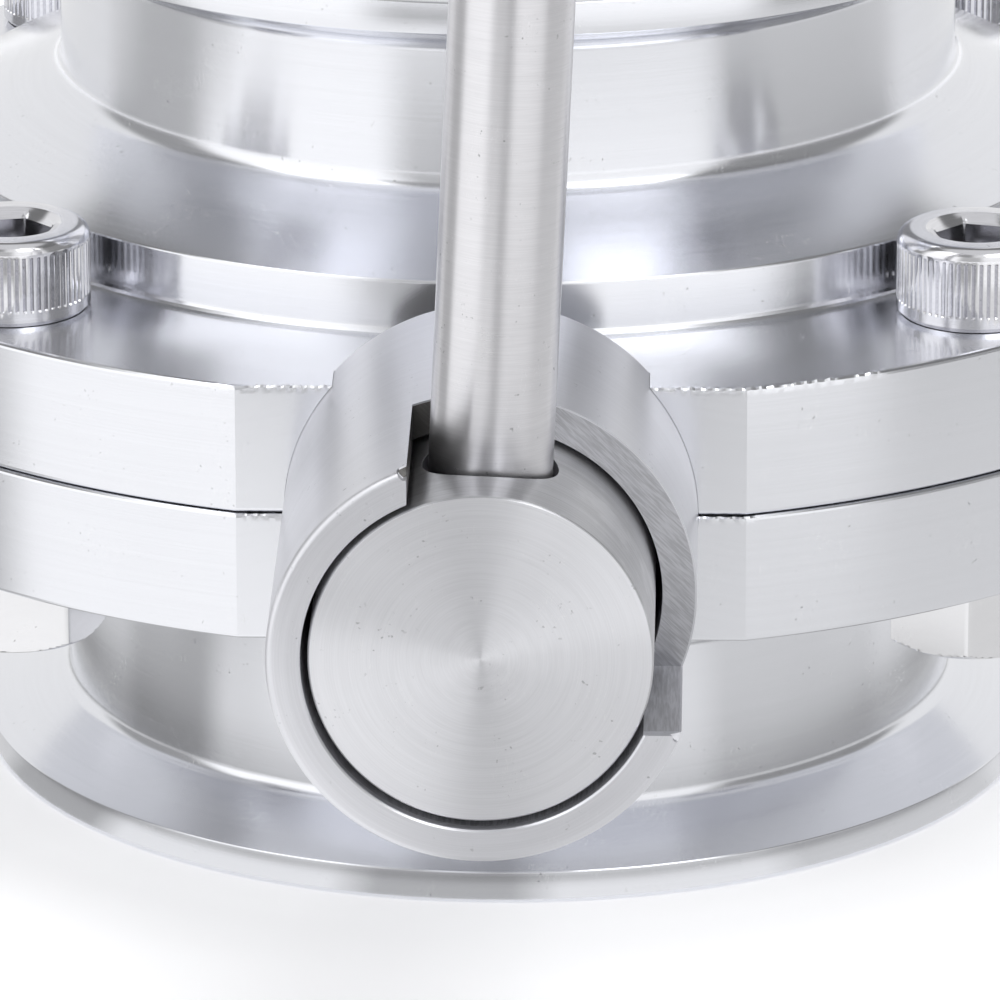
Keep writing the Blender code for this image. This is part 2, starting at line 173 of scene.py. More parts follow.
def box_object(low, high, matrix):
    """A box between two corners, to cut with."""
    bm = bmesh.new()
    bmesh.ops.create_cube(bm, size=1)
    for v in bm.verts:
        v.co = Vector([a + (c + 0.5) * (b - a) for a, b, c in zip(low, high, v.co)])
    mesh = bpy.data.meshes.new("cutter")
    bm.to_mesh(mesh)
    bm.free()
    return add("cutter", mesh, matrix)


def cylinder_object(radius, low, high, matrix, steps):
    """A cylinder along its own Z, to cut with."""
    profile = [(0, high), (radius, high), (radius, low), (0, low)]
    return add("cutter", revolve("cutter", profile, even(steps), False), matrix)


def bolt_places():
    """The four screw axes where they meet the parting plane."""
    return [AXIS + Vector((sx * BOLT_X + BOLT_SHIFT, sy * BOLT_Y, 0))
            for sx, sy in ((-1, -1), (1, -1), (1, 1), (-1, 1))]


def finish_piece(obj, body, slot, material, *nodes):
    """Give a piece its material, its body and the CAD nodes that it stands in for."""
    obj.data.materials.clear()
    obj.data.materials.append(material)
    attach(obj, body)
    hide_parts(*nodes)
    return obj


# --- materials -------------------------------------------------------------

class Nodes:
    """Short calls for building the node tree of a material or a world."""

    def __init__(self, owner):
        owner.use_nodes = True
        self.owner = owner
        self.tree = owner.node_tree
        self.shader = self.tree.nodes.get("Principled BSDF")

    def new(self, kind, **settings):
        node = self.tree.nodes.new(kind)
        for key, value in settings.items():
            setattr(node, key, value)
        return node

    def link(self, a, b):
        self.tree.links.new(a, b)

    def put(self, socket, value):
        if isinstance(value, bpy.types.NodeSocket):
            self.link(value, socket)
        else:
            socket.default_value = value

    def math(self, operation, a, b=0.0, clamp=False):
        node = self.new("ShaderNodeMath", operation=operation, use_clamp=clamp)
        self.put(node.inputs[0], a)
        self.put(node.inputs[1], b)
        return node.outputs[0]

    def xyz(self, vector):
        node = self.new("ShaderNodeSeparateXYZ")
        self.link(vector, node.inputs[0])
        return node.outputs

    def reach(self, x, y):
        """Distance from the Z axis."""
        squares = self.math("ADD", self.math("MULTIPLY", x, x), self.math("MULTIPLY", y, y))
        return self.math("SQRT", squares)

    def vector(self, x, y, z):
        node = self.new("ShaderNodeCombineXYZ")
        for socket, value in zip(node.inputs, (x, y, z)):
            self.put(socket, value)
        return node.outputs[0]

    def noise(self, vector, scale=1.0, detail=3.0, rough=0.55, distortion=0.0):
        node = self.new("ShaderNodeTexNoise")
        self.link(vector, node.inputs["Vector"])
        node.inputs["Scale"].default_value = scale
        node.inputs["Detail"].default_value = detail
        node.inputs["Roughness"].default_value = rough
        node.inputs["Distortion"].default_value = distortion
        return node.outputs["Fac"]

    def ramp(self, fac, *stops):
        node = self.new("ShaderNodeValToRGB")
        self.link(fac, node.inputs[0])
        elements = node.color_ramp.elements
        while len(elements) < len(stops):
            elements.new(0.5)
        for element, (place, value) in zip(elements, stops):
            element.position = place
            element.color = (*value, 1) if isinstance(value, tuple) else (value, value, value, 1)
        return node.outputs["Color"]

    def mix(self, fac, a, b):
        node = self.new("ShaderNodeMix", data_type="RGBA")
        self.put(node.inputs["Factor"], fac)
        for socket, value in ((node.inputs[6], a), (node.inputs[7], b)):
            self.put(socket, (*value, 1) if isinstance(value, tuple) else value)
        return node.outputs[2]

    def bump(self, height, strength, distance):
        node = self.new("ShaderNodeBump")
        node.inputs["Strength"].default_value = strength
        node.inputs["Distance"].default_value = distance
        self.link(height, node.inputs["Height"])
        return node.outputs["Normal"]


def shaded(colour, factor):
    """The colour made darker or lighter, but no brighter than white."""
    return tuple(min(1.0, c * factor) for c in colour)


def saw_marks_and_painted_shade(n, x, y, z, colour):
    """Straight saw marks on a colour darkened as painted shade, and the deep painted shadow in the
    slot's upper left corner.
    """
    across = n.math("MULTIPLY", n.math("ADD", x, y), 5200)
    along = n.math("MULTIPLY", n.math("SUBTRACT", x, y), 420)
    cuts = n.noise(n.vector(across, along, n.math("MULTIPLY", z, 420)), detail=2.0)
    # painted shade: the whole sawn inside is darkened to 0.62 to 0.80 of the steel's colour
    steel = n.mix(n.ramp(cuts, (0.38, 0.0), (0.62, 1.0)), shaded(colour, 0.62), shaded(colour, 0.80))
    # painted shadow: towards the slot's left and top the colour goes near black
    left = n.ramp(n.math("MULTIPLY", x, -100), (0.0, 0.0), (0.30, 0.0), (0.44, 1.0))
    high = n.ramp(n.math("MULTIPLY", y, 50), (0.0, 0.0), (0.33, 0.0), (0.55, 1.0))
    corner = n.math("MULTIPLY", n.math("MULTIPLY", left, high), 0.85)
    return n.mix(corner, steel, (0.10, 0.095, 0.085)), cuts


def turned_steel(name, colour, roughness, anisotropic, grain=0.14 * MM, relief=1.0,
                 lines=0.06, marks=0.4, sawn_and_shaded=None, dull_side=None):
    """Bare steel cut on a lathe: the tool marks run round the piece's own Z axis.

    grain is the width of the tool marks, relief their depth, lines how much they darken the
    steel, and marks how strong its scratches and pits are.  The pair (radius, height) for the
    sawn inside makes what lies inside and below a sawn surface with painted shade, its colour
    darkened to stand in for the shade there, and dull_side is the radius beyond which the
    steel is left as the rough cut.
    """
    n = Nodes(bpy.data.materials.new(name))
    place = n.new("ShaderNodeTexCoord").outputs["Object"]
    x, y, z = n.xyz(place)
    radius = n.reach(x, y)
    safe = n.math("ADD", radius, 1e-5)
    around_x, around_y = n.math("DIVIDE", x, safe), n.math("DIVIDE", y, safe)

    def rings(width, sweep, detail):
        """Noise drawn out along the cut: narrow across the tool path, long around it."""
        across = n.math("MULTIPLY", n.math("ADD", radius, n.math("MULTIPLY", z, 1.37)), 1 / width)
        return n.noise(n.vector(n.math("MULTIPLY", around_x, sweep),
                                n.math("MULTIPLY", around_y, sweep), across), detail=detail)

    fine = rings(grain, 1.6, 2.0)
    coarse = rings(grain * 7, 1.0, 3.0)
    clouds = n.noise(place, scale=110.0, detail=4.0)
    streak = n.noise(n.vector(n.math("MULTIPLY", x, 3100), n.math("MULTIPLY", y, 800),
                              n.math("MULTIPLY", z, 1000)), detail=1.0, distortion=1.8)
    scratch = n.ramp(streak, (0.0, 0.0), (0.610, 0.0), (0.632, 1.0), (0.655, 0.0))
    patch = n.ramp(n.noise(place, scale=260.0, detail=3.0), (0.0, 0.0), (0.50, 0.0), (0.62, 1.0))
    scratch = n.math("MULTIPLY", scratch, patch)
    pits = n.ramp(n.noise(place, scale=2300.0, detail=1.0), (0.0, 0.0), (0.70, 0.0), (0.78, 1.0))
    pits = n.math("MULTIPLY", pits, patch)

    shade = n.math("ADD", n.math("MULTIPLY", fine, 0.5), n.math("MULTIPLY", coarse, 0.3))
    shade = n.math("ADD", shade, n.math("MULTIPLY", clouds, 0.2))
    base = n.mix(n.ramp(shade, (0.30, 0.0), (0.66, 1.0)), shaded(colour, 1 - 2 * lines), colour)
    base = n.mix(n.math("MULTIPLY", pits, marks), base, shaded(colour, 0.45))
    base = n.mix(n.math("MULTIPLY", scratch, 0.5 * marks), base, shaded(colour, 1.2))
    rough = n.math("ADD", roughness - 0.05, n.math("MULTIPLY", clouds, 0.08))
    rough = n.math("ADD", rough, n.math("MULTIPLY", fine, 0.04))
    rough = n.math("ADD", rough, n.math("MULTIPLY", scratch, 0.10), clamp=True)
    height = n.math("ADD", fine, n.math("MULTIPLY", coarse, 0.8))
    height = n.math("SUBTRACT", height, n.math("MULTIPLY", scratch, marks))
    height = n.math("SUBTRACT", height, n.math("MULTIPLY", pits, 1.5 * marks))
    if sawn_and_shaded:
        # painted shade: inside this radius and below this height the colour is darkened, with saw
        # marks
        inside = n.math("MULTIPLY", n.math("LESS_THAN", radius, sawn_and_shaded[0]),
                        n.math("LESS_THAN", z, sawn_and_shaded[1]))
        sawn_shaded_colour, cuts = saw_marks_and_painted_shade(n, x, y, z, colour)
        base = n.mix(inside, base, sawn_shaded_colour)
        rough = n.math("ADD", rough, n.math("MULTIPLY", inside, 0.12), clamp=True)
        height = n.math("ADD", height, n.math("MULTIPLY", n.math("MULTIPLY", cuts, inside), 2.0))
    if dull_side:
        side = n.math("GREATER_THAN", radius, dull_side)
        grey = n.mix(n.ramp(shade, (0.36, 0.0), (0.62, 1.0)), shaded(colour, 0.58),
                     shaded(colour, 0.76))
        base = n.mix(side, base, n.mix(n.math("MULTIPLY", patch, 0.35), grey, base))
        rough = n.math("ADD", rough, n.math("MULTIPLY", side, 0.05), clamp=True)

    n.link(base, n.shader.inputs["Base Color"])
    n.link(rough, n.shader.inputs["Roughness"])
    n.link(n.bump(height, 0.3 * relief, 0.004 * MM), n.shader.inputs["Normal"])
    n.shader.inputs["Metallic"].default_value = 1.0
    n.shader.inputs["Anisotropic"].default_value = anisotropic
    n.shader.inputs["Anisotropic Rotation"].default_value = 0.25
    tangent = n.new("ShaderNodeTangent", direction_type="RADIAL", axis="Z")
    n.link(tangent.outputs[0], n.shader.inputs["Tangent"])
    return n.owner


def moulded(name, colour, roughness, grain):
    """Rubber or plastic with a fine moulded skin and soft colour variation."""
    n = Nodes(bpy.data.materials.new(name))
    place = n.new("ShaderNodeTexCoord").outputs["Object"]
    skin = n.noise(place, scale=1 / grain, detail=4.0)
    clouds = n.noise(place, scale=60.0, detail=3.0)
    base = n.mix(n.ramp(clouds, (0.35, 0.0), (0.65, 1.0)), shaded(colour, 0.88), colour)
    n.link(base, n.shader.inputs["Base Color"])
    rough = n.math("ADD", roughness - 0.06, n.math("MULTIPLY", clouds, 0.12))
    n.link(rough, n.shader.inputs["Roughness"])
    n.link(n.bump(skin, 0.3, 0.02 * MM), n.shader.inputs["Normal"])
    return n.owner


SKIN, FACE_BAND = 0.15 * MM, 1.0 * MM            # how deep the turned outside and face reach

BODY_STEEL = turned_steel("body_steel", (0.835, 0.845, 0.885), 0.18, 0.78, relief=0.6, lines=0.02,
                          marks=0.5)
# the inside of the housing gets saw marks and painted shade, a darker colour than the turned outside
HOUSING_STEEL = turned_steel("housing_steel", (0.80, 0.805, 0.845), 0.32, 0.7, grain=0.12 * MM,
                             relief=1.3, lines=0.05, marks=0.7,
                             sawn_and_shaded=(HOUSING_R - SKIN, HOUSING_FRONT - FACE_BAND))
SPOOL_STEEL = turned_steel("spool_steel", (0.85, 0.855, 0.89), 0.29, 0.93, grain=0.10 * MM,
                           relief=1.0, lines=0.05, marks=0.7, dull_side=SPOOL_R - SKIN)
ROD_STEEL = turned_steel("rod_steel", (0.80, 0.795, 0.82), 0.28, 0.88, grain=0.09 * MM,
                         relief=2.0, lines=0.06, marks=1.0)
BOLT_STEEL = turned_steel("fastener_steel", (0.84, 0.84, 0.87), 0.13, 0.2, grain=0.2 * MM,
                          marks=0.6)
NUT_STEEL = turned_steel("nut_steel", (0.86, 0.86, 0.88), 0.20, 0.0, grain=0.9 * MM, relief=0.4,
                         lines=0.02, marks=0.6)
DISC_STEEL = turned_steel("disc_steel", (0.84, 0.84, 0.87), 0.12, 0.3, grain=0.25 * MM, lines=0.03)
SEAT_RUBBER = moulded("seat_rubber", (0.60, 0.60, 0.57), 0.6, 0.25 * MM)
PTFE = moulded("ptfe_plastic", (0.88, 0.87, 0.84), 0.42, 0.2 * MM)
BLACK_RUBBER = moulded("o_ring_rubber", (0.035, 0.035, 0.035), 0.5, 0.15 * MM)


# --- body halves -----------------------------------------------------------

def half_mesh(name, height, boss_r):
    """One body half above the parting plane, with the flat facet in front."""
    rim_low = height - RIM_EDGE
    tube_fillet, cone_fillet, base_fillet = 1.3 * MM, 1.9 * MM, 0.9 * MM
    edge, rim_edge, bore_chamfer = 0.36 * MM, 0.22 * MM, 0.2 * MM
    slope = math.degrees(RIM_BEVEL)
    cone = math.degrees(math.atan2(CONE_TOP - BOSS_TOP, boss_r - TUBE_R - tube_fillet))
    # the rim's back bevel runs into the tube through a fillet
    centre = (TUBE_R + tube_fillet, rim_low - (RIM_R - TUBE_R - tube_fillet) * math.tan(RIM_BEVEL)
              - tube_fillet / math.cos(RIM_BEVEL))
    under_rim = arc(*centre, tube_fillet, 90 + slope, 180)
    foot = CONE_TOP + cone_fillet * 0.8
    over_cone = arc(TUBE_R + cone_fillet, foot + cone_fillet * 0.25, cone_fillet, 180, 270 - cone)
    profile = [(GROOVE_R + GROOVE_W / 2, height)]
    profile += arc(RIM_R - rim_edge, height - rim_edge, rim_edge, 90, 0, 4)
    profile += arc(RIM_R - rim_edge, rim_low + rim_edge, rim_edge, 0, -90 + slope, 3)
    profile += under_rim + over_cone
    profile += arc(boss_r - edge, BOSS_TOP - edge, edge, 90 - cone, 0, 4)
    profile += arc(boss_r + base_fillet, FLANGE_T + base_fillet, base_fillet, 180, 270, 5)
    first_flange = len(profile)
    guard = (0.7 * MM, 0.35 * MM)                # rings that keep a torn edge off the flats
    profile += [(FLANGE_R - edge - g, FLANGE_T) for g in guard]
    profile += arc(FLANGE_R - edge, FLANGE_T - edge, edge, 90, 0, 3)
    profile += [(FLANGE_R, FLANGE_T - edge - g) for g in reversed(guard)]
    profile += [(FLANGE_R, SEAM / 2 + edge + g) for g in guard]
    profile += arc(FLANGE_R - edge, SEAM / 2 + edge, edge, 0, -90, 3)
    last_flange = len(profile)
    profile += [(POCKET_R, SEAM / 2), (POCKET_R, POCKET_H), (BORE_R, POCKET_H)]
    profile += [(BORE_R, height - bore_chamfer), (BORE_R + bore_chamfer, height)]
    profile += [(GROOVE_R - GROOVE_W / 2, height)]
    profile += arc(GROOVE_R, height, GROOVE_W / 2 * 0.94, 180, 360, 8)

    def radius_of(index, r, z, angle):
        """Keep the flange behind the flat facet, edge rounding included."""
        facing = -math.sin(angle)                # how far the angle points to the front
        if not first_flange <= index < last_flange or facing <= 0.5:
            return r
        inset = FLANGE_R - r
        return min(r, (FACET_D - inset) / facing)

    front, fine = 1.5 * math.pi, math.radians(0.2)
    corner = math.acos(FACET_D / FLANGE_R)       # where the facet meets the round flange
    count = int(FINE_ZONE / fine)
    angles = [a for a in even() if abs(a - front) > FINE_ZONE]
    angles += [front + k * fine for k in range(-count, count + 1)]
    for exact in (front - corner, front + corner):
        angles = [a for a in angles if abs(a - exact) > 0.4 * fine] + [exact]
    return revolve(name, profile, sorted(angles), True, radius_of)


def ragged_edge(mesh, edge_z, zones, rise, stand):
    """Small torn teeth that the facet cutter left on the flange edge at edge_z.

    zones are (first, last) angles in degrees from the front, towards the right; the teeth go
    up by rise and outwards by stand.
    """
    reach = 0.28 * MM
    for vertex in mesh.vertices:
        x, y, z = vertex.co
        radius = math.hypot(x, y)
        angle = math.degrees(math.atan2(x, -y))
        side = min(FLANGE_R, FACET_D / max(0.1, math.cos(math.radians(angle))))
        if abs(z - edge_z) > reach or radius < side - 0.35 * MM:
            continue
        for first, last in zones:
            if first <= angle <= last:
                tooth = 0.5 + 0.5 * math.sin(angle * 7.5 + math.sin(angle * 1.7))
                patchy = noise.noise(Vector((angle * 0.5, edge_z / MM, 2.3)))
                height = tooth * min(1.0, max(0.0, patchy * 2.0 + 0.8))
                height *= min(1.0, angle - first, last - angle)
                height *= 1 - abs(z - edge_z) / reach
                vertex.co.z += rise * height
                vertex.co.x *= 1 + stand * height / radius
                vertex.co.y *= 1 + stand * height / radius


def housing_socket():
    """The stepped hole in both flanges that the housing, its neck and its collar fill."""
    notch = HOUSING_R + 0.03 * MM
    return [(0, FAR), (notch, FAR), (notch, HOUSING_REAR - SEAM),
            (NECK_R + GAP, HOUSING_REAR - SEAM), (NECK_R + GAP, COLLAR_FRONT + GAP),
            (COLLAR_R + GAP, COLLAR_FRONT + GAP), (COLLAR_R + GAP, COLLAR_REAR - GAP),
            (STEM_R + GAP, COLLAR_REAR - GAP), (STEM_R + GAP, GROOVE_R), (0, GROOVE_R)]


def body_half(node, mesh):
    """Cut the housing socket, the rear stem pocket and the screw holes, and finish the half."""
    obj = add(node + "_turned", mesh, FIXED)
    socket = revolve("cutter", housing_socket(), even(192), False)
    cut(obj, add("cutter", socket, FIXED @ TURN_FRONT))
    cut(obj, cylinder_object(IDLER_BUSH_R + GAP, GROOVE_R, IDLER_TIP + GAP, FIXED @ TURN_BACK, 64))
    for place in bolt_places():
        cut(obj, cylinder_object(BOLT_HOLE_R, -FAR, FAR, Matrix.Translation(place), 48))
    crisp(obj)
    finish_piece(obj, "valve_body", "machined_steel", BODY_STEEL, node)


def upper_body():
    mesh = half_mesh("upper_body_turned", UPPER_HEIGHT, BOSS_R)
    ragged_edge(mesh, FLANGE_T, ((-20, -10.5), (11.5, 29)), 0.2 * MM, 0.15 * MM)
    body_half("upper_body", mesh)


def lower_body():
    mesh = half_mesh("lower_body_turned", LOWER_HEIGHT, LOWER_BOSS_R)
    ragged_edge(mesh, SEAM / 2, ((-18, -13), (14, 19)), -0.02 * MM, 0.35 * MM)
    mesh.transform(Matrix.Scale(-1, 4, (0, 0, 1)))
    mesh.flip_normals()
    body_half("lower_body", mesh)


# --- seat ring -------------------------------------------------------------

def seat_ring():
    """Rubber ring, crowned inside so that the disc's rim presses on its middle."""
    outer, crown, rows = POCKET_R - GAP, 0.8 * MM, 8
    end = SEAT_BORE + 1.0 * MM
    profile = [(end, SEAT_H), (outer, SEAT_H), (outer, -SEAT_H), (end, -SEAT_H)]
    profile += [(SEAT_BORE + crown * (k / rows) ** 2, 0.9 * SEAT_H * k / rows)
                for k in range(-rows, rows + 1)]
    seat = add("seat_ring_moulded", revolve("seat_ring_moulded", profile, even(192), True), FIXED)
    cut(seat, cylinder_object(STEM_R + GAP, -FAR, FAR, FIXED @ TURN_FRONT, 64))
    crisp(seat, 35)
    finish_piece(seat, "valve_body", "seat_rubber", SEAT_RUBBER, "seat_ring")


# --- handle housing --------------------------------------------------------

def chip(obj, place, size, seed):
    """Break a small rough bite of about this size out of an edge."""
    bm = bmesh.new()
    bmesh.ops.create_icosphere(bm, subdivisions=2, radius=size)
    for vertex in bm.verts:
        vertex.co *= 1 + 0.35 * noise.noise(vertex.co / size * 1.7 + Vector((seed, 0, 0)))
    mesh = bpy.data.meshes.new("chip")
    bm.to_mesh(mesh)
    bm.free()
    cut(obj, add("chip", mesh, FIXED @ Matrix.Translation(place)))


def housing_mesh():
    round_front, chamfer, mouth = 0.6 * MM, 0.1 * MM, 0.15 * MM
    profile = [(HOUSING_BORE + mouth, HOUSING_FRONT)]
    profile += arc(HOUSING_R - round_front, HOUSING_FRONT - round_front, round_front, 90, 0, 6)
    profile += [(HOUSING_R, HOUSING_REAR + chamfer), (HOUSING_R - chamfer, HOUSING_REAR),
                (NECK_R, HOUSING_REAR), (NECK_R, COLLAR_FRONT), (COLLAR_R, COLLAR_FRONT),
                (COLLAR_R, COLLAR_REAR), (BUSH_R + GAP, COLLAR_REAR), (BUSH_R + GAP, HOUSING_REAR),
                (STEM_R + GAP, HOUSING_REAR), (STEM_R + GAP, HOUSING_FLOOR - ORING_SEAT_D),
                (ORING_SEAT_R, HOUSING_FLOOR - ORING_SEAT_D), (ORING_SEAT_R, HOUSING_FLOOR),
                (HOUSING_BORE, HOUSING_FLOOR), (HOUSING_BORE, HOUSING_FRONT - mouth)]
    return revolve("handle_housing_turned", profile, even(240), True)


def handle_housing():
    """Round sleeve with the slot that the rod swings in, chipped at two corners of the slot."""
    housing = add("handle_housing_turned", housing_mesh(), FIXED @ TURN_FRONT)
    slot = (SLOT_LEFT, -FAR, SLOT_LOW), (FAR, SLOT_DEPTH - HOUSING_FRONT, FAR)
    cut(housing, box_object(*slot, FIXED))
    soften(housing, 0.14 * MM)
    chip(housing, (SLOT_LEFT - 0.15 * MM, 0.55 * MM - HOUSING_FRONT, 15.3 * MM), 0.75 * MM, 3)
    chip(housing, (15.5 * MM, 0.1 * MM - HOUSING_FRONT, SLOT_LOW + 0.05 * MM), 0.8 * MM, 8)
    crisp(housing, 20)
    finish_piece(housing, "valve_body", "turned_steel", HOUSING_STEEL, "handle_housing")


# --- drum, rod, disc -------------------------------------------------------

ROD_PLACE = ROTOR @ Matrix.Translation((0, -ROD_Y, 0))


def handle_spool():
    """Solid drum with the rod's seat, and the hidden square socket for the stem."""
    edge = 0.28 * MM
    profile = [(0, SPOOL_FRONT)]
    profile += arc(SPOOL_R - edge, SPOOL_FRONT - edge, edge, 90, 0, 4)
    profile += [(SPOOL_R, SPOOL_REAR), (0, SPOOL_REAR)]
    spool = add("handle_spool_turned", revolve("handle_spool_turned", profile, even(240), False),
                ROTOR @ TURN_FRONT)
    cut(spool, cylinder_object(ROD_SEAT_R, ROD_SEAT, 2 * SPOOL_R, ROD_PLACE, 96))
    soften(spool, 0.10 * MM)
    socket = STEM_SQUARE / 2 + GAP
    cut(spool, box_object((-socket, -STEM_TIP - GAP, -socket), (socket, 0, socket), ROTOR))
    cut(spool, cylinder_object(ROD_TIP_R + GAP, 0, ROD_SEAT + GAP, ROD_PLACE, 48))
    crisp(spool, 20)
    finish_piece(spool, "handle", "turned_steel", SPOOL_STEEL, "handle_spool")


def handle_rod():
    """Round bar with a domed end, standing in the drum on a thin stub."""
    foot = 0.25 * MM
    profile = arc(0, ROD_END - ROD_R, ROD_R, 90, 0, 16)
    profile[0] = (0, ROD_END)
    profile += arc(ROD_R - foot, ROD_SEAT + GAP + foot, foot, 0, -90, 3)
    profile += [(ROD_TIP_R, ROD_SEAT + GAP), (ROD_TIP_R, ROD_TIP), (0, ROD_TIP)]
    rod = add("handle_rod_ground", revolve("handle_rod_ground", profile, even(128), False),
              ROD_PLACE)
    crisp(rod, 20)
    finish_piece(rod, "handle", "brushed_bar", ROD_STEEL, "handle_rod")


def valve_disc():
    """A lens with a rounded rim, united with the round hub that the stems enter."""
    rim_angle = math.asin(DISC_RIM / DISC_R)
    swell = DISC_CENTRE - DISC_RIM
    face = [(DISC_R * t, DISC_RIM + swell * math.cos(t * math.pi / 2) ** 0.8)
            for t in (k / 24 for k in range(4, 24))]
    rim = [(DISC_R * math.cos(a), DISC_R * math.sin(a))
           for a in (rim_angle * k / 3 for k in (3, 2, 1, 0, -1, -2, -3))]
    back = [(r, -z) for r, z in reversed(face)]
    profile = [(0, DISC_CENTRE)] + face + rim + back + [(0, -DISC_CENTRE)]
    disc = add("valve_disc_polished", revolve("valve_disc_polished", profile, even(192), False),
               ROTOR @ Matrix.Rotation(math.pi / 2, 4, "Y"))
    cut(disc, cylinder_object(HUB_R, -HUB_END, HUB_END, ROTOR @ TURN_FRONT, 96), "UNION")
    soften(disc, 0.4 * MM, 40, 3)
    for turn in (TURN_FRONT, TURN_BACK):
        cut(disc, cylinder_object(STEM_R + GAP, STEM_INNER - GAP, FAR, ROTOR @ turn, 64))
    crisp(disc, 25)
    finish_piece(disc, "handle", "polished_disc", DISC_STEEL, "valve_disc")


# --- fasteners -------------------------------------------------------------

KNURLS = 66
KNURL_DEPTHS = (0.0, 0.02 * MM, 0.30 * MM, 0.02 * MM)  # one ridge and one groove
SCREW_STEPS = KNURLS * len(KNURL_DEPTHS)


def hexagon(apothem, angle):
    """Distance from the middle of a hexagon to its side at an angle."""
    sixth = math.pi / 3
    return apothem / math.cos((angle % sixth) - sixth / 2)


def screw_mesh():
    """Socket head cap screw, its origin on the head's bearing face."""
    band, shoulder = 1.25 * MM, 1.15 * MM
    socket, mouth, lip = HEX_KEY / 2, 3.52 * MM, 4.15 * MM
    profile, kinds = [], []

    def put(kind, *points):
        """Add points whose ring is round, hexagonal or knurled."""
        profile.extend(points)
        kinds.extend([kind] * len(points))

    put("round", (0, HEAD_H - HEX_DEPTH - 0.8 * MM))
    put("hex", (socket, HEAD_H - HEX_DEPTH), (socket, HEAD_H - 0.75 * MM))
    put("round", (mouth, HEAD_H - 0.50 * MM), (lip - 0.15 * MM, HEAD_H - 0.08 * MM), (lip, HEAD_H))
    put("round", *arc(HEAD_R - shoulder, HEAD_H - shoulder, shoulder, 90, 12, 8))
    put("round", (HEAD_R - 0.03 * MM, HEAD_H - shoulder))
    put("knurl", (HEAD_R, HEAD_H - shoulder - 0.12 * MM), (HEAD_R, band + 0.12 * MM))
    put("round", (HEAD_R - 0.03 * MM, band), (HEAD_R - 0.03 * MM, 0.45 * MM))
    put("round", (HEAD_R - 0.35 * MM, 0.05 * MM), (SHANK_R, 0.05 * MM))
    end = -2 * FLANGE_T - NUT_H - 0.3 * MM
    put("round", (SHANK_R, end + 0.4 * MM), (SHANK_R - 0.6 * MM, end), (0, end))

    def radius_of(index, r, z, angle):
        if kinds[index] == "hex":
            return hexagon(r, angle)
        if kinds[index] == "knurl":
            phase = round(angle / math.tau * SCREW_STEPS) % len(KNURL_DEPTHS)
            return r - KNURL_DEPTHS[phase]
        return r

    return revolve("cap_screw", profile, even(SCREW_STEPS), False, radius_of)


def nut_mesh():
    """Hexagon nut chamfered both sides, its origin on its upper face."""
    corner_r = NUT_AF / 2 / math.cos(math.pi / 6)
    levels = (0.0, 0.12, 0.25, 0.38, 0.5, 0.65)  # rows of points down the chamfer, in mm
    inner, flare, flare_depth = SHANK_R + 0.08 * MM, 0.55 * MM, 0.7 * MM
    profile = [(inner, -flare_depth), (inner + flare, 0)]
    profile += [(corner_r, -k * MM) for k in levels]
    profile += [(corner_r, -NUT_H + k * MM) for k in reversed(levels)]
    profile += [(inner + flare, -NUT_H), (inner, -NUT_H + flare_depth)]

    def radius_of(index, r, z, angle):
        if index < 2 or index > len(profile) - 3:
            return r
        depth = min(-z, NUT_H + z)
        cone = NUT_AF / 2 - 0.15 * MM + depth / math.tan(math.radians(30))
        return min(hexagon(NUT_AF / 2, angle), cone)

    return revolve("hex_nut", profile, even(240), True, radius_of)


def fastener(number, place):
    """A screw from above and its nut under the lower flange."""
    turn = Matrix.Rotation(math.radians(NUT_TURN[number - 1] * 1.7), 4, "Z")
    screw = add(f"cap_screw_knurled_{number}", screw_mesh(),
                Matrix.Translation(place + Vector((0, 0, FLANGE_T))) @ turn)
    crisp(screw, 22)
    finish_piece(screw, "valve_body", "fastener_steel", BOLT_STEEL, f"cap_screw_{number}")
    turn = Matrix.Rotation(math.radians(NUT_TURN[number - 1]), 4, "Z")
    nut = add(f"hex_nut_chamfered_{number}", nut_mesh(),
              Matrix.Translation(place + Vector((0, 0, -FLANGE_T - 0.05 * MM))) @ turn)
    crisp(nut)
    finish_piece(nut, "valve_body", "fastener_steel", NUT_STEEL, f"hex_nut_{number}")


def inner_pieces():
    """The hidden pieces keep their CAD meshes, with detailed materials."""
    for node, material in (("drive_stem", SPOOL_STEEL), ("idler_stem", SPOOL_STEEL),
                           ("drive_bush", PTFE), ("idler_bush", PTFE), ("thrust_washer", PTFE),
                           ("stem_o_ring", BLACK_RUBBER)):
        mesh = frame["nodes"][node].data
        mesh.materials.clear()
        mesh.materials.append(material)


# --- floor, light and camera ----------------------------------------------

def plain_floor():
    """A wide pale floor that glows a little, like an overexposed table."""
    bm = bmesh.new()
    bmesh.ops.create_grid(bm, x_segments=1, y_segments=1, size=6)
    mesh = bpy.data.meshes.new("floor")
    bm.to_mesh(mesh)
    bm.free()
    floor = add("floor", mesh)
    n = Nodes(bpy.data.materials.new("pale_floor"))
    place = n.new("ShaderNodeTexCoord").outputs["Object"]
    base = n.mix(n.noise(place, scale=40.0), (0.90, 0.90, 0.91), (0.92, 0.92, 0.925))
    n.link(base, n.shader.inputs["Base Color"])
    n.shader.inputs["Roughness"].default_value = 0.75
    n.link(base, n.shader.inputs["Emission Color"])
    n.shader.inputs["Emission Strength"].default_value = 0.38
    floor.data.materials.append(n.owner)


def around(n, x, y):
    """Direction round the vertical as 0 to 1: 0.25 left, 0.5 front, 0.75 right, 0 and 1 back."""
    turn = n.math("DIVIDE", n.math("ARCTAN2", x, n.math("MULTIPLY", y, -1)), math.tau)
    return n.math("ADD", turn, 0.5)


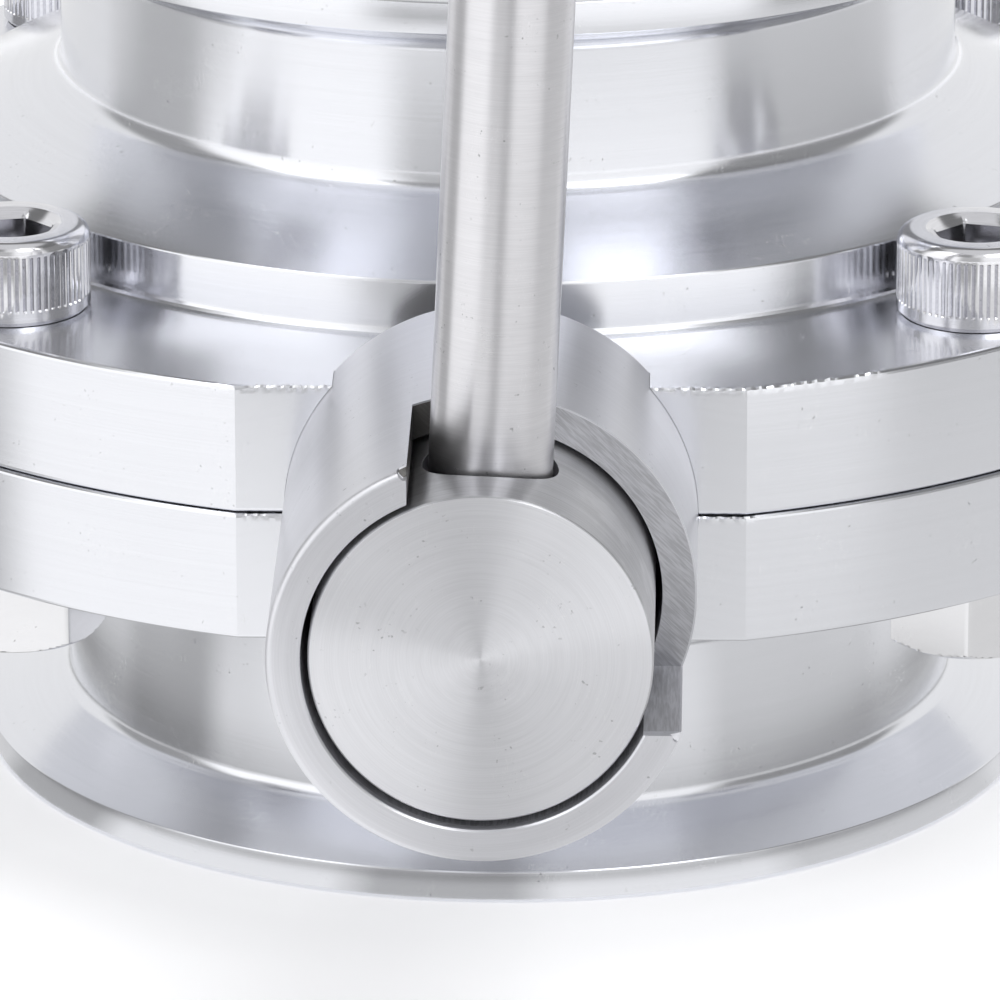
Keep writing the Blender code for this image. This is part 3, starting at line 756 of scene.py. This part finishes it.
# panels of the tent from the back round by the left, and where each gives way to the next:
# back wall, left gap, left panel, front gap, right panel, right gap, back wall
TENT_ENDS = (0.165, 0.27, 0.425, 0.52, 0.655, 0.825)
TABLE_ENDS = (0.165, 0.28, 0.484, 0.512, 0.655, 0.825)   # near the flange the front gap is narrow
# above them: dark, left lamp, front gap, front fill, right lamp, dark
LAMP_ENDS = (0.275, 0.39, 0.48, 0.556, 0.655)
PANEL_SOFT = 0.013                               # how far a panel fades either side of its end
# heights of the lamps' lower and upper fades, from 0 at the horizon to 1 overhead
WALL_TOP, LAMP_FOOT, LAMP_TOP, ROOF_FOOT = 0.44, 0.50, 0.68, 0.76
ROOF_COLOUR = (0.7, 0.7, 0.71)


def panels(n, turn, ends, levels):
    """A ring of light panels of these brightnesses, with soft edges where each one ends."""
    stops = [(0.0, levels[0])]
    for end, before, after in zip(ends, levels, levels[1:]):
        stops += [(end - PANEL_SOFT, before), (end + PANEL_SOFT, after)]
    return n.ramp(turn, *stops, (1.0, levels[-1]))


def studio_world():
    """A light tent: pale back wall, dark gaps at both sides, bright front, soft roof."""
    world = bpy.data.worlds.new("light_tent")
    bpy.context.scene.world = world
    n = Nodes(world)
    background = n.tree.nodes["Background"]
    x, y, z = n.xyz(n.new("ShaderNodeTexCoord").outputs["Generated"])
    turn = around(n, x, y)
    height = n.math("DIVIDE", n.math("ARCSINE", z), math.pi / 2)
    walls = panels(n, turn, TENT_ENDS, (0.9, 0.35, 1.25, 0.55, 1.05, 0.3, 0.9))
    upper = panels(n, turn, LAMP_ENDS, (0.2, 2.1, 0.35, 0.85, 3.7, 0.2))
    lamps = n.ramp(height, (0.0, 0.0), (WALL_TOP, 0.0), (LAMP_FOOT, 1.0))
    roof = n.ramp(height, (0.0, 0.0), (LAMP_TOP, 0.0), (ROOF_FOOT, 1.0))
    n.link(n.mix(roof, n.mix(lamps, walls, upper), ROOF_COLOUR), background.inputs["Color"])
    background.inputs["Strength"].default_value = 1.0


def floor_glow():
    """What the polished walls see of the lit table: bright in front, dim at the sides."""
    inner, outer, lift = RIM_R + 0.3 * MM, 600 * MM, 0.2 * MM
    # the lower tube mirrors the nearest part, the flange the next and the upper tube the rest
    foot_end, middle_end = 78 * MM, 240 * MM
    mesh = revolve("floor_glow", [(inner, lift), (outer, lift)], even(96), False)
    glow = add("floor_glow", mesh, Matrix.Translation((AXIS.x, AXIS.y, 0)))
    n = Nodes(bpy.data.materials.new("floor_glow"))
    place = n.new("ShaderNodeTexCoord").outputs["Object"]
    x, y, _ = n.xyz(place)
    turn = around(n, x, y)
    reach = n.reach(x, y)

    def facing(wall):
        """Where a wall of this radius is mirrored from: the turn of the mirrored ray."""
        twice = n.math("MULTIPLY", reach, 2)
        stretch = n.math("DIVIDE", twice, n.math("SUBTRACT", twice, wall))
        return n.math("ADD", n.math("MULTIPLY", n.math("SUBTRACT", turn, 0.5), stretch), 0.5)

    foot = panels(n, facing(TUBE_R), TENT_ENDS, (0.7, 0.45, 0.95, 0.5, 0.95, 0.7, 0.85))
    middle = panels(n, facing(FLANGE_R), TABLE_ENDS, (0.85, 0.5, 1.1, 0.6, 0.8, 0.75, 0.85))
    far = panels(n, facing(TUBE_R), TENT_ENDS, (0.85, 0.5, 1.2, 0.4, 1.15, 0.45, 0.85))
    level = n.mix(n.math("GREATER_THAN", reach, foot_end), foot, middle)
    level = n.mix(n.math("GREATER_THAN", reach, middle_end), level, far)
    # the valve's own shadow, a band 51 to 62 mm from the pipe axis
    shadow = n.ramp(n.math("MULTIPLY", reach, 10), (0.0, 0.0), (0.505, 0.0), (0.525, 0.65),
                    (0.595, 0.55), (0.620, 0.0), (1.0, 0.0))
    level = n.mix(shadow, level, (0.0, 0.0, 0.0))
    cloud = n.noise(place, scale=9.0, detail=2.0)
    level = n.mix(n.math("MULTIPLY", cloud, 0.10), level, (0.6, 0.6, 0.6))
    n.shader.inputs["Base Color"].default_value = (0, 0, 0, 1)
    n.shader.inputs["Specular IOR Level"].default_value = 0
    n.link(level, n.shader.inputs["Emission Color"])
    n.shader.inputs["Emission Strength"].default_value = 1.0
    glow.data.materials.append(n.owner)
    glow.visible_camera = glow.visible_diffuse = glow.visible_shadow = False


def area_light(name, place, size, power):
    """A soft box that lights the table but is not mirrored in the metal."""
    light = bpy.data.lights.new(name, "AREA")
    light.shape = "RECTANGLE"
    light.size, light.size_y = size
    light.energy = power
    obj = bpy.data.objects.new(name, light)
    bpy.context.scene.collection.objects.link(obj)
    obj.location = place
    obj.rotation_euler = (AXIS - Vector(place)).to_track_quat("-Z", "Y").to_euler()
    obj.visible_camera = obj.visible_glossy = False


CAMERA_DISTANCE = 0.84969
CAMERA_AZIMUTH, CAMERA_ELEVATION = math.radians(1.31), math.radians(18.02)
CAMERA_PAN, CAMERA_TILT, CAMERA_ROLL = (math.radians(a) for a in (-0.05, -1.30, -0.07))
FOCAL_WIDTHS = 9.8706                            # focal length in picture widths


def photo_camera():
    """The photo's view: far away, slightly above and nearly straight in front."""
    data = bpy.data.cameras.new("camera")
    camera = bpy.data.objects.new("camera", data)
    bpy.context.scene.collection.objects.link(camera)
    data.sensor_width = 36
    data.lens = 36 * FOCAL_WIDTHS
    data.clip_start, data.clip_end = 0.01, 50
    back = Vector((math.sin(CAMERA_AZIMUTH) * math.cos(CAMERA_ELEVATION),
                   -math.cos(CAMERA_AZIMUTH) * math.cos(CAMERA_ELEVATION),
                   math.sin(CAMERA_ELEVATION)))
    right = Vector((math.cos(CAMERA_AZIMUTH), math.sin(CAMERA_AZIMUTH), 0))
    up = back.cross(right)
    aim = (right * math.tan(CAMERA_PAN) + up * math.tan(CAMERA_TILT) - back).normalized()
    right = aim.cross(up).normalized()
    up = right.cross(aim)
    right, up = (right * math.cos(CAMERA_ROLL) + up * math.sin(CAMERA_ROLL),
                 up * math.cos(CAMERA_ROLL) - right * math.sin(CAMERA_ROLL))
    basis = Matrix((right, up, -aim)).transposed().to_4x4()
    camera.matrix_world = Matrix.Translation(AXIS + back * CAMERA_DISTANCE) @ basis
    bpy.context.scene.camera = camera


upper_body()
lower_body()
seat_ring()
handle_housing()
handle_spool()
handle_rod()
valve_disc()
for number, place in enumerate(bolt_places(), 1):
    fastener(number, place)
inner_pieces()
plain_floor()
studio_world()
floor_glow()
area_light("table_light", (0.35, -0.25, 1.2), (1.1, 1.1), 6)
photo_camera()
bpy.context.scene.view_settings.view_transform = "Standard"

bpy.context.view_layer.update()
